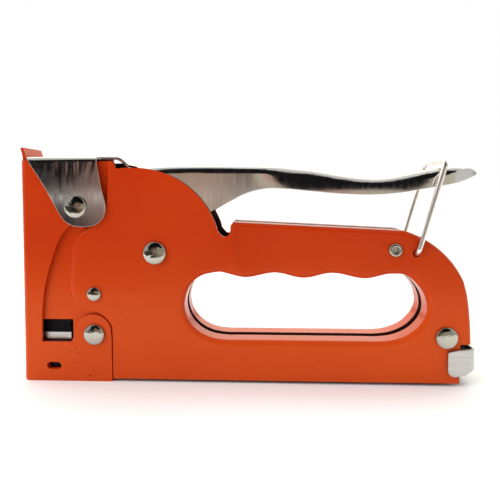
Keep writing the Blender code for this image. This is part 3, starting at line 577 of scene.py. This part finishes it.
def paint_material():
    """Gloss orange-red enamel: faint orange peel, cloudy tone, painted light and shade from top to bottom,
    a few specks and chips.
    """
    mat, tree, shader, coords = new_material("orange_paint")
    x, _, z = axes(tree, coords)
    cloud = noise(tree, coords, 28.0, 3.0)
    # Painted light and shade: the upper body is painted darker and redder and the lower body lighter and
    # more orange, standing in for the light from below.
    upper = ramp(tree, cloud, [(0.3, (0.450, 0.028, 0.0028)), (0.7, (0.490, 0.034, 0.0036))])
    lower = ramp(tree, cloud, [(0.3, (0.560, 0.054, 0.0060)), (0.7, (0.610, 0.064, 0.0080))])
    base = mix(tree, span(tree, z, 0.056, 0.010), upper, lower)
    specks = ramp(tree, noise(tree, coords, 900.0, 1.0), [(0.0, 0.0), (0.74, 0.0), (0.80, 1.0)])
    base = mix(tree, math_node(tree, "MULTIPLY", specks, 0.25), base, (0.30, 0.015, 0.004))
    bare = math_node(tree, "MULTIPLY", chip_mask(tree, coords), 0.85)
    base = mix(tree, bare, base, (0.09, 0.010, 0.006))
    tree.links.new(base, shader.inputs["Base Color"])
    rough = ramp(tree, noise(tree, coords, 60.0, 4.0), [(0.3, 0.20), (0.7, 0.27)])
    tree.links.new(rough, shader.inputs["Roughness"])
    shader.inputs["Specular IOR Level"].default_value = 0.30
    shader.inputs["Specular Tint"].default_value = (1.0, 0.62, 0.26, 1.0)
    shader.inputs["Coat Weight"].default_value = 0.06
    shader.inputs["Coat Roughness"].default_value = 0.06
    peel, dents = noise(tree, coords, 650.0, 2.0), noise(tree, coords, 60.0, 1.0)
    bumped(tree, shader, [(peel, 0.006), (dents, 0.05), (notch_crease(tree, x, z), 0.5)], 0.2)
    return mat


def painted_shade_inside_material():
    """Painted shade: the shells' inside faces painted near black, standing in for the shade inside the
    body, with a faint mottle.
    """
    mat, tree, shader, coords = new_material("shell_inside")
    shade_mottle = noise(tree, coords, 120.0, 4.0)
    tone = ramp(tree, shade_mottle, [(0.3, (0.030, 0.006, 0.005)), (0.7, (0.055, 0.010, 0.007))])
    tree.links.new(tone, shader.inputs["Base Color"])
    rough = ramp(tree, noise(tree, coords, 300.0), [(0.3, 0.6), (0.7, 0.8)])
    tree.links.new(rough, shader.inputs["Roughness"])
    bumped(tree, shader, [(noise(tree, coords, 800.0, 3.0), 0.02)], 0.1)
    return mat


def plated(name, colour, rough, streaks, streak_depth, wave_depth, waves, top_z=None, edge=0.25):
    """Bright plate: fine streaks, slow waves, and upright folds below a bend when top_z is given."""
    mat, tree, shader, coords = new_material(name)
    _, _, z = axes(tree, coords)
    fine = noise(tree, coords, 900.0, 3.0, streaks)
    dull = tuple(c * 0.90 for c in colour)
    tone = ramp(tree, noise(tree, coords, 45.0, 4.0), [(0.3, dull), (0.7, colour)])
    tree.links.new(tone, shader.inputs["Base Color"])
    shader.inputs["Metallic"].default_value = 1.0
    tree.links.new(ramp(tree, fine, [(0.3, rough * 0.7), (0.7, rough * 1.4)]), shader.inputs["Roughness"])
    heights = [(fine, streak_depth), (noise(tree, coords, waves, 2.0), wave_depth)]
    if top_z is not None:
        folds = math_node(tree, "SUBTRACT", noise(tree, coords, 480.0, 1.0, (1.0, 1.0, 0.10)), 0.5)
        folds = math_node(tree, "MULTIPLY", folds, span(tree, z, (top_z - 8) * MM, (top_z - 3) * MM))
        folds = math_node(tree, "MULTIPLY", folds, span(tree, z, (top_z - 1.2) * MM, (top_z - 2.0) * MM))
        heights.append((folds, 0.14))
    bumped(tree, shader, heights, edge)
    return mat


def steel_material(name, colour, rough, stretch=(1, 1, 1)):
    """Plain steel with darker blotches and a fine grain."""
    mat, tree, shader, coords = new_material(name)
    grain = noise(tree, coords, 700.0, 3.0, stretch)
    blotch = noise(tree, coords, 90.0, 4.0)
    dark = tuple(c * 0.7 for c in colour)
    tree.links.new(ramp(tree, blotch, [(0.35, dark), (0.7, colour)]), shader.inputs["Base Color"])
    shader.inputs["Metallic"].default_value = 1.0
    tree.links.new(ramp(tree, grain, [(0.3, rough * 0.8), (0.7, rough * 1.3)]), shader.inputs["Roughness"])
    bumped(tree, shader, [(grain, 0.01)], 0.15)
    return mat


def rubber_material():
    mat, tree, shader, coords = new_material("rubber")
    grain = noise(tree, coords, 500.0, 4.0)
    tree.links.new(ramp(tree, grain, [(0.3, 0.012), (0.7, 0.03)]), shader.inputs["Base Color"])
    tree.links.new(ramp(tree, grain, [(0.3, 0.7), (0.7, 0.9)]), shader.inputs["Roughness"])
    bumped(tree, shader, [(grain, 0.03)], 0.2)
    return mat


PAINT = paint_material()
PAINTED_SHADE_INSIDE = painted_shade_inside_material()
CHROME = plated("chrome", (0.78, 0.75, 0.73), 0.10, (1, 1, 0.08), 0.004, 0.05, 55.0, CAP_TOP_Z)
LEVER_CHROME = plated("chrome_lever", (0.80, 0.77, 0.74), 0.13, (1, 1, 0.06), 0.008, 0.06, 45.0)
NICKEL = plated("nickel", (0.45, 0.44, 0.385), 0.10, (1, 1, 1), 0.004, 0.25, 260.0, edge=0.2)
WIRE = plated("zinc_wire", (0.84, 0.82, 0.80), 0.2, (1, 1, 0.1), 0.006, 0.02, 120.0, edge=0.05)
ZINC_BRIGHT = plated("zinc_bright", (0.52, 0.515, 0.50), 0.30, (0.15, 1, 1), 0.02, 0.08, 130.0)
ZINC = steel_material("zinc", (0.55, 0.55, 0.54), 0.36, (0.08, 1, 1))
STEEL = steel_material("steel", (0.62, 0.61, 0.60), 0.26)
DARK_STEEL = steel_material("dark_steel", (0.012, 0.012, 0.013), 0.45)
BLACK_STEEL = steel_material("black_steel", (0.03, 0.03, 0.033), 0.4)
SPRING_STEEL = steel_material("spring_steel", (0.16, 0.16, 0.17), 0.35)
RUBBER = rubber_material()


# ---------------------------------------------------------------- pieces

def eased(t):
    """0 up to t = 0, 1 from t = 1, and smooth between."""
    t = min(max(t, 0.0), 1.0)
    return t * t * (3 - 2 * t)


def shell_cavity():
    """The space inside the two shells, shallower behind the pressed-in nose area."""
    inner = BODY_HALF - SHEET
    loops = [body_loop(ROLL, 8.0), finger_hole(ROLL)]
    cavity = plate("cavity", loops, -inner, inner, ROLL - SHEET)
    return cut(cavity, plate("cavity_recess", [recess_loop(SHEET)], -THROUGH, -(inner - RECESS)))


def recess_cutter():
    """Presses in the nose area, with an edge that slopes out softly to the shell's face."""
    levels, slope = 8, 1.9
    rings = []
    for i in range(levels + 1):
        u = i / levels
        y = -(BODY_HALF - RECESS + RECESS * eased(u))
        rings.append([(x, y, z) for x, z in recess_loop(slope=slope * (1 - u))])
    rings.append([(x, -THROUGH, z) for x, z in recess_loop(0.01)])
    return loft("recess", rings)


def slot_cutter(name):
    """The small slot with round ends low on the nose."""
    x, z, length, height = -70.55, 5.6, 5.3, 2.6
    r, run = height / 2, length / 2 - height / 2
    return side_cutter(name, arc((x + run, z), r, -90, 90, 12) + arc((x - run, z), r, 90, 270, 12))


def shell_holes():
    """The holes for the rivets and the bail, the window and the slot."""
    holes = [drill("hole_" + name, x, z, shank + GAP) for name, (x, z, _, shank, _) in RIVETS.items()]
    holes.append(drill("hole_bail", *BAIL_PIVOT, BAIL_WIRE + GAP))
    holes.append(box("window", (-76.6, -63.7), (-THROUGH, THROUGH), (12.6, 22.4)))
    holes.append(slot_cutter("slot"))
    return joined("holes", holes)


def make_shells():
    """Both shells, pressed from one sheet with rolled edges; the right one mirrors the left one."""
    loops = [body_loop(ROLL, 5.0), finger_hole(ROLL)]
    shell = plate("shell_left_skin", loops, -BODY_HALF, BODY_HALF, ROLL)
    shell = cut(shell, box("far_half", (-110, 110), (-SEAM / 2, THROUGH), (-30, 120)))
    shell = cut(shell, recess_cutter())
    shell = cut(shell, shell_cavity())
    shell = cut(shell, side_cutter("trim", trim_loop()), "INTERSECT")
    shell = cut(shell, shell_holes())
    mirror = shell.data.copy()
    mirror.transform(Matrix.Diagonal((1, -1, 1, 1)))
    mirror.flip_normals()
    other = add("shell_right_skin", mirror)
    for obj, node, inward in ((shell, "shell_left", 1), (other, "shell_right", -1)):
        finish(obj, PAINT, "body", node, 40, 0.15)
        # The faces that look inward get the second material, painted near black as the shade inside the
        # body.
        obj.data.materials.append(PAINTED_SHADE_INSIDE)
        for face in obj.data.polygons:
            if face.normal.y * inward > 0.5:
                face.material_index = 1


def leaning(obj):
    """Slopes a solid forward, so that its foot stands further out than its top."""
    for vert in obj.data.vertices:
        vert.co.x -= FRONT_LEAN * (MM - vert.co.z / NOSE_TOP_Z)
    return obj


def make_channel():
    """The nose's U-shaped front, wrapped round the shells, with a lip that curls out at its top."""
    channel = box("front_channel_skin", (FRONT_X, -40.0), (-BODY_HALF, BODY_HALF), (-6.0, 90.0), 2.0)
    inner = BODY_HALF - SHEET
    inside = box("inside", (FRONT_X + SHEET, -30.0), (-inner, inner), (-12.0, 96.0), 1.0)
    channel = cut(leaning(channel), leaning(inside))
    channel = cut(channel, side_cutter("side", channel_loop()), "INTERSECT")
    foot, back_x = NOSE_TOP_Z - 0.6, FRONT_X + SHEET
    front = smooth([(FRONT_X + 0.03, foot), (FRONT_X - 0.1, 81.6), (-81.9, 84.2)], 6)
    back = smooth([(-81.0, 84.4), (back_x, 81.4), (back_x - 0.03, foot)], 6)
    channel = cut(channel, plate("lip", [(front + back)[::-1]], -TONGUE_HALF, TONGUE_HALF), "UNION")
    holes = [slot_cutter("channel_slot")]
    for name in ("cap_rivet", "nose_rivet"):
        x, z, _, shank, _ = RIVETS[name]
        holes.append(drill("hole", x, z, shank + GAP))
    channel = cut(channel, joined("channel_holes", holes))
    finish(channel, PAINT, "body", "front_channel", 40, 0.25)


def tongue_loop():
    """The tongue from the side: flat under the cap's roof, then curling down behind it."""
    top = CAP_TOP_Z
    under = smooth([(-47.8, top - CAP_SHEET), (-46.2, top - 1.3), (-44.2, 78.0), (-43.0, 77.3)], 4)
    over = smooth([(-42.6, 78.1), (-43.7, 79.0), (-45.4, top - 0.5), (-46.8, top - 0.05)], 4)
    return [(-54.5, top - CAP_SHEET + 0.02)] + under + over + [(-54.5, top - 0.02)]


def make_cap():
    """The bright cap bent over the nose, with a tongue behind it."""
    half, soft = BODY_HALF + GAP + CAP_SHEET, CAP_BEND - CAP_SHEET
    left, right, low, top = -82.3 + CAP_BEND, -49.0 - CAP_BEND, 40 + CAP_BEND, CAP_TOP_Z - CAP_BEND
    outer = [(left, low), (right, low), (right, top), (left, top)]
    cap = plate("spring_cap_skin", [outer], -half, half, CAP_BEND, bevel_steps=8)
    roof = CAP_TOP_Z - CAP_SHEET - soft
    inner = [(-90.0, 30.0), (-30.0, 30.0), (-30.0, roof), (-90.0, roof)]
    cap = cut(cap, plate("hollow", [inner], -half + CAP_SHEET, half - CAP_SHEET, soft, bevel_steps=6))
    cap = cut(cap, side_cutter("cap_side", cap_loop()), "INTERSECT")
    cap = cut(cap, plate("tongue", [tongue_loop()], -TONGUE_HALF, TONGUE_HALF), "UNION")
    x, z, _, shank, _ = RIVETS["cap_rivet"]
    cap = cut(cap, drill("cap_hole", x, z, shank + GAP))
    finish(cap, CHROME, "body", "spring_cap", 35, 0.2)


def make_lever():
    """The pressed lever: a rounded top with sides, and cheeks down to the pivot."""
    lever = plate("lever_skin", [lever_far_loop(LEVER_BEND, 6.0)], -LEVER_HALF, LEVER_HALF,
                  LEVER_BEND, bevel_steps=8)
    inner = LEVER_HALF - LEVER_SHEET
    hollow = plate("lever_hollow", [lever_far_loop(LEVER_BEND, 12.0)], -inner, inner,
                   LEVER_BEND - LEVER_SHEET, bevel_steps=6)
    plan_inner = plate("plan_inner", [lever_plan(LEVER_SHEET)], 10.0, 95.0, plan=True)
    hollow = cut(hollow, plan_inner, "INTERSECT")
    lever = cut(lever, plate("plan_outer", [lever_plan(0.0)], 15.0, 90.0, plan=True), "INTERSECT")
    lever = cut(lever, hollow)
    lever = cut(lever, side_cutter("lever_side", lever_loop(4.0)), "INTERSECT")
    lever = cut(lever, drill("lever_hole", *PIVOT, PIVOT_SHANK + GAP))
    draw_in_sides(lever)
    finish(lever, LEVER_CHROME, "lever", "lever", 30, 0.35)


def draw_in_sides(lever):
    """Tapers the grip's section: its sides lean in towards the top along the middle of the lever."""
    bm = bmesh.new()
    bm.from_mesh(lever.data)
    foot_z, strength = 67.0, 0.024
    cuts = [((x * MM, 0, 0), (1, 0, 0)) for x in range(-6, 76, 2)]
    cuts += [((0, 0, z * MM), (0, 0, 1)) for z in range(66, 79)]
    for co, no in cuts:
        everything = bm.verts[:] + bm.edges[:] + bm.faces[:]
        bmesh.ops.bisect_plane(bm, geom=everything, dist=1e-6, plane_co=co, plane_no=no)
    for vert in bm.verts:
        x, z = vert.co.x / MM, vert.co.z / MM
        lean = strength * eased((x - 2.0) / 18.0) * eased((70.0 - x) / 16.0)
        vert.co.y *= 1.0 - lean * max(z - foot_z, 0.0) ** 2 / LEVER_HALF
    bm.to_mesh(lever.data)
    bm.free()


def rivet_head(head, seat, hollow):
    """Half of a head's profile, from its middle to its rim: a dome, or a rolled ring round a hole."""
    rise = head * 0.36
    if hollow:
        hole = [(0.0, seat - 0.5), (head * 0.40, seat - 0.5), (head * 0.44, seat + 0.2)]
        ring = [(0.55, 0.9), (0.68, 1.0), (0.84, 0.85), (0.96, 0.5), (1.0, 0.2), (1.0, 0.0)]
        return hole + [(head * r, seat + rise * h) for r, h in ring]
    turns = [math.radians(a) for a in range(0, 91, 6)]
    dome = [(head * math.sin(a), seat + rise * (0.3 + 0.7 * math.cos(a))) for a in turns]
    return dome + [(head, seat)]


def make_rivets():
    """Round-headed rivets with a thin rim; the small handle rivet is rolled and hollow."""
    for name, (x, z, head, shank, half_width) in RIVETS.items():
        seat = half_width + GAP
        half = rivet_head(head, seat, name == "handle_rivet") + [(shank, seat)]
        profile = half + [(r, -h) for r, h in half[::-1]]
        rivet = welded(turned(name + "_skin", profile, x, z, 64), 1e-6)
        finish(rivet, NICKEL, "body", name, 50)


def make_bail():
    """The wire loop from the handle's sides over the lever's tip."""
    (px, pz), (tx, tz) = BAIL_PIVOT, BAIL_TOP
    length = math.hypot(tx - px, tz - pz)
    ux, uz = (tx - px) / length, (tz - pz) / length
    corner, end_y = 2.2, 7.4
    straight = BAIL_HALF - corner
    half = [(px, end_y, pz), (px, straight, pz)]
    for a in range(10, 91, 10):
        turn = math.radians(a)
        up = corner * (1 - math.cos(turn))
        half.append((px + ux * up, straight + corner * math.sin(turn), pz + uz * up))
    for a in range(0, 91, 10):
        turn = math.radians(a)
        up = length - corner + corner * math.sin(turn)
        half.append((px + ux * up, straight + corner * math.cos(turn), pz + uz * up))
    path = [(x, -y, z) for x, y, z in half] + half[::-1]
    finish(wire("latch_bail_skin", path, BAIL_WIRE), WIRE, "bail", "latch_bail", 60)


def make_tab():
    """The tab at the tail that wraps round the body's end and pulls the rail out."""
    half, back_x = BODY_HALF + GAP + CAP_SHEET, 79.3
    inner = half - CAP_SHEET
    tab = box("rear_latch_tab_skin", (40.0, back_x), (-half, half), (-3.0, 30.0), 1.5)
    tab = cut(tab, box("tab_inside", (30.0, back_x - CAP_SHEET), (-inner, inner), (-9.0, 36.0), 0.7))
    corner = smooth([(69.9, 6.3), (70.3, 4.8), (71.5, 3.9), (72.9, 3.7)], 4)
    outline = corner + [(76.0, 4.5), (79.4, 6.6), (79.4, 13.9), (73.5, 13.4), (70.5, 12.8), (69.9, 12.2)]
    tab = cut(tab, side_cutter("tab_side", outline), "INTERSECT")
    finish(tab, ZINC_BRIGHT, "rail", "rear_latch_tab", 35, 0.2)


def coil(axis, centre, radius, low, high, turns, wire_radius):
    """Points of a coil along Z or X whose end turns lie closed."""
    per_turn = 20
    dead = 2.3 * wire_radius
    pitch = (high - low - 2 * dead) / (turns - 2)
    points = []
    for i in range(turns * per_turn + 1):
        t = i / per_turn
        h = low + dead * t if t <= 1 else low + dead + pitch * (t - 1)
        if t >= turns - 1:
            h = high - dead * (turns - t)
        u = centre[0] + radius * math.cos(math.tau * t)
        v = centre[1] + radius * math.sin(math.tau * t)
        points.append((u, v, h) if axis == "Z" else (h, u, v))
    return points


def make_main_spring():
    """The spring in the nose, as a fixed coil; on the gun it shortens as the striker lifts."""
    x, low, high = -71.6, 19.5, 76.6
    radius, thick, turns = 4.2, 0.7, 13
    points = coil("Z", (x, 0.0), radius, low, high, turns, thick)
    spring = wire("main_spring_skin", points, thick, 3)
    finish(spring, SPRING_STEEL, "body", "main_spring")
    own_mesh(spring)


def make_pusher_spring():
    """The long spring round the guide rod, as a fixed coil; on the gun it shortens as the pusher slides
    back.
    """
    z, low, high = 5.6, -64.1, 76.4
    radius, thick, turns = 1.9, 0.3, 20
    points = coil("X", (0.0, z), radius, low, high, turns, thick)
    spring = wire("pusher_spring_skin", points, thick, 2)
    finish(spring, SPRING_STEEL, "rail", "pusher_spring")
    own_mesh(spring)


# The looks of the inner pieces, whose shapes are the CAD model's own.
INNER = {
    "lifter": STEEL,
    "striker_block": ZINC_BRIGHT,
    "driver_blade": DARK_STEEL,
    "pivot_bush": STEEL,
    "nose_spacer": STEEL,
    "handle_spacer": STEEL,
    "rear_spacer": STEEL,
    "spring_seat": STEEL,
    "guide_rod": STEEL,
    "pusher": STEEL,
    "return_spring": SPRING_STEEL,
    "spring_cup": DARK_STEEL,
    "bumper": RUBBER,
    "magazine_channel": BLACK_STEEL,
    "staple_rail": ZINC,
}


def dress_inner_pieces():
    for node, mat in INNER.items():
        obj = bpy.data.objects[node]
        if not obj.material_slots:
            obj.data.materials.append(mat)
        for slot in obj.material_slots:
            slot.link = "OBJECT"
            slot.material = mat


make_shells()
make_channel()
make_cap()
make_lever()
make_rivets()
make_bail()
make_tab()
make_main_spring()
make_pusher_spring()
dress_inner_pieces()


# ---------------------------------------------------------------- studio

CEILING = (0.008, 0.008, 0.009)
WARM_WHITE = (1.0, 0.98, 0.95)


def make_floor():
    """The white table."""
    mesh = bpy.data.meshes.new("floor")
    bm = bmesh.new()
    bmesh.ops.create_grid(bm, x_segments=1, y_segments=1, size=6.0)
    bm.to_mesh(mesh)
    bm.free()
    floor = add("floor", mesh)
    mat, tree, shader, coords = new_material("floor")
    tone = ramp(tree, noise(tree, coords, 3.0), [(0.3, 0.90), (0.7, 0.93)])
    tree.links.new(tone, shader.inputs["Base Color"])
    shader.inputs["Roughness"].default_value = 0.9
    mesh.materials.append(mat)


def bearing(tree, x, y):
    """The angle from straight ahead of the object's near side, positive to the right."""
    return math_node(tree, "ARCTAN2", x, math_node(tree, "MULTIPLY", y, -1.0))


def room_colour(tree, turn):
    """The dim room beyond the table by its bearing: dark brown at the left, lighter ahead."""
    dark_brown, brown = (0.24, 0.135, 0.11), (0.42, 0.29, 0.215)
    room = mix(tree, span(tree, turn, -0.32, -0.14), dark_brown, brown)
    post = band(tree, turn, -0.10, -0.06, -0.04, 0.0)
    room = mix(tree, post, room, (0.07, 0.06, 0.06))
    wall = (0.54, 0.50, 0.40)
    room = mix(tree, span(tree, turn, -0.02, 0.03), room, wall)
    pink = band(tree, turn, 0.08, 0.11, 0.15, 0.19)
    return mix(tree, pink, room, (0.58, 0.33, 0.28))


def make_world():
    """A white studio, brightest behind; towards the viewer a dim brown room under a black ceiling."""
    world = bpy.data.worlds.new("studio")
    bpy.context.scene.world = world
    world.use_nodes = True
    tree = world.node_tree
    coords = tree.nodes.new("ShaderNodeTexCoord").outputs["Generated"]
    x, y, z = axes(tree, coords)
    turn = bearing(tree, x, y)
    rise = math_node(tree, "ARCSINE", z)

    # Towards the viewer: the room low down, then the ceiling, which comes lower at the left.
    ceiling_left, ceiling_slope, ceiling_most = -0.26, 1.67, 0.5
    left = math_node(tree, "MULTIPLY", math_node(tree, "SUBTRACT", ceiling_left, turn), ceiling_slope)
    left = math_node(tree, "MINIMUM", math_node(tree, "MAXIMUM", left, 0.0), ceiling_most)
    low = math_node(tree, "ADD", rise, left)
    room = mix(tree, span(tree, low, 0.17, 0.25), room_colour(tree, turn), CEILING)
    room = mix(tree, span(tree, rise, 1.30, 1.38), room, WARM_WHITE)

    # Behind: a bright wall above a grey edge, and grey at the sides.
    edge, wall, side = (0.45, 0.45, 0.45), (1.7, 1.6, 1.4), (0.65, 0.65, 0.65)
    behind = mix(tree, span(tree, rise, 0.05, 0.16), edge, wall)
    behind = mix(tree, span(tree, rise, 1.10, 1.25), behind, WARM_WHITE)
    open_side = mix(tree, span(tree, y, -0.1, 0.3), side, behind)

    front = span(tree, math_node(tree, "ABSOLUTE", turn), 0.66, 0.56)
    seen = tree.nodes.new("ShaderNodeLightPath").outputs["Is Camera Ray"]
    background = tree.nodes["Background"]
    colour = mix(tree, seen, mix(tree, front, open_side, room), (1.0, 1.0, 1.0))
    tree.links.new(colour, background.inputs["Color"])
    background.inputs["Strength"].default_value = 1.0


def make_card():
    """The room's dim floor beyond the table's edge. Only reflections show it."""
    mesh = bpy.data.meshes.new("card")
    bm = bmesh.new()
    near, far, half, height = -0.15, -3, 3, 0.001
    corners = [(-half, near), (half, near), (half, far), (-half, far)]
    bm.faces.new([bm.verts.new((x, y, height)) for x, y in corners])
    bm.to_mesh(mesh)
    bm.free()
    card = add("card", mesh)
    mat, tree, shader, coords = new_material("card")
    x, y, _ = axes(tree, coords)
    turn = bearing(tree, x, y)
    tone = mix(tree, span(tree, turn, -0.38, -0.45), room_colour(tree, turn), CEILING)
    tone = mix(tree, span(tree, y, -0.16, -0.15), tone, (0.9, 0.9, 0.9))
    tree.links.new(tone, shader.inputs["Emission Color"])
    shader.inputs["Emission Strength"].default_value = 1.0
    shader.inputs["Base Color"].default_value = (0, 0, 0, 1)
    mesh.materials.append(mat)
    card.visible_camera = card.visible_diffuse = card.visible_shadow = False


def make_key_light():
    """A soft panel from the front left, which no surface mirrors."""
    light = bpy.data.lights.new("key", "AREA")
    light.shape = "RECTANGLE"
    light.size = light.size_y = 0.6
    light.energy = 5.1
    obj = add("key", light)
    obj.location = (-0.7, -0.55, 0.55)
    middle = Vector((0.0, 0.0, 0.04))
    obj.rotation_euler = (middle - obj.location).to_track_quat("-Z", "Y").to_euler()
    obj.visible_glossy = False


def make_top_light():
    """Very soft light from straight above, which no surface mirrors."""
    sun = bpy.data.lights.new("top", "SUN")
    sun.energy = 1.4
    sun.angle = math.radians(70)
    obj = add("top", sun)
    obj.visible_glossy = False


def make_camera():
    """The camera in front of the left side, turned and tipped slightly, with the frame shifted down."""
    cam = bpy.data.cameras.new("camera")
    cam.sensor_width = 36.0
    cam.lens = 34.56
    cam.shift_y = -0.06
    cam.clip_start = 0.01
    obj = add("camera", cam)
    pan, tilt = math.radians(2.2), math.radians(3.6)
    look = Vector((-math.sin(pan) * math.cos(tilt), math.cos(pan) * math.cos(tilt), -math.sin(tilt)))
    obj.location = (0.00704, -0.1770, 0.06927)
    obj.rotation_euler = look.to_track_quat("-Z", "Y").to_euler()
    bpy.context.scene.camera = obj


make_floor()
make_world()
make_card()
make_key_light()
make_top_light()
make_camera()
bpy.context.scene.view_settings.view_transform = "Standard"
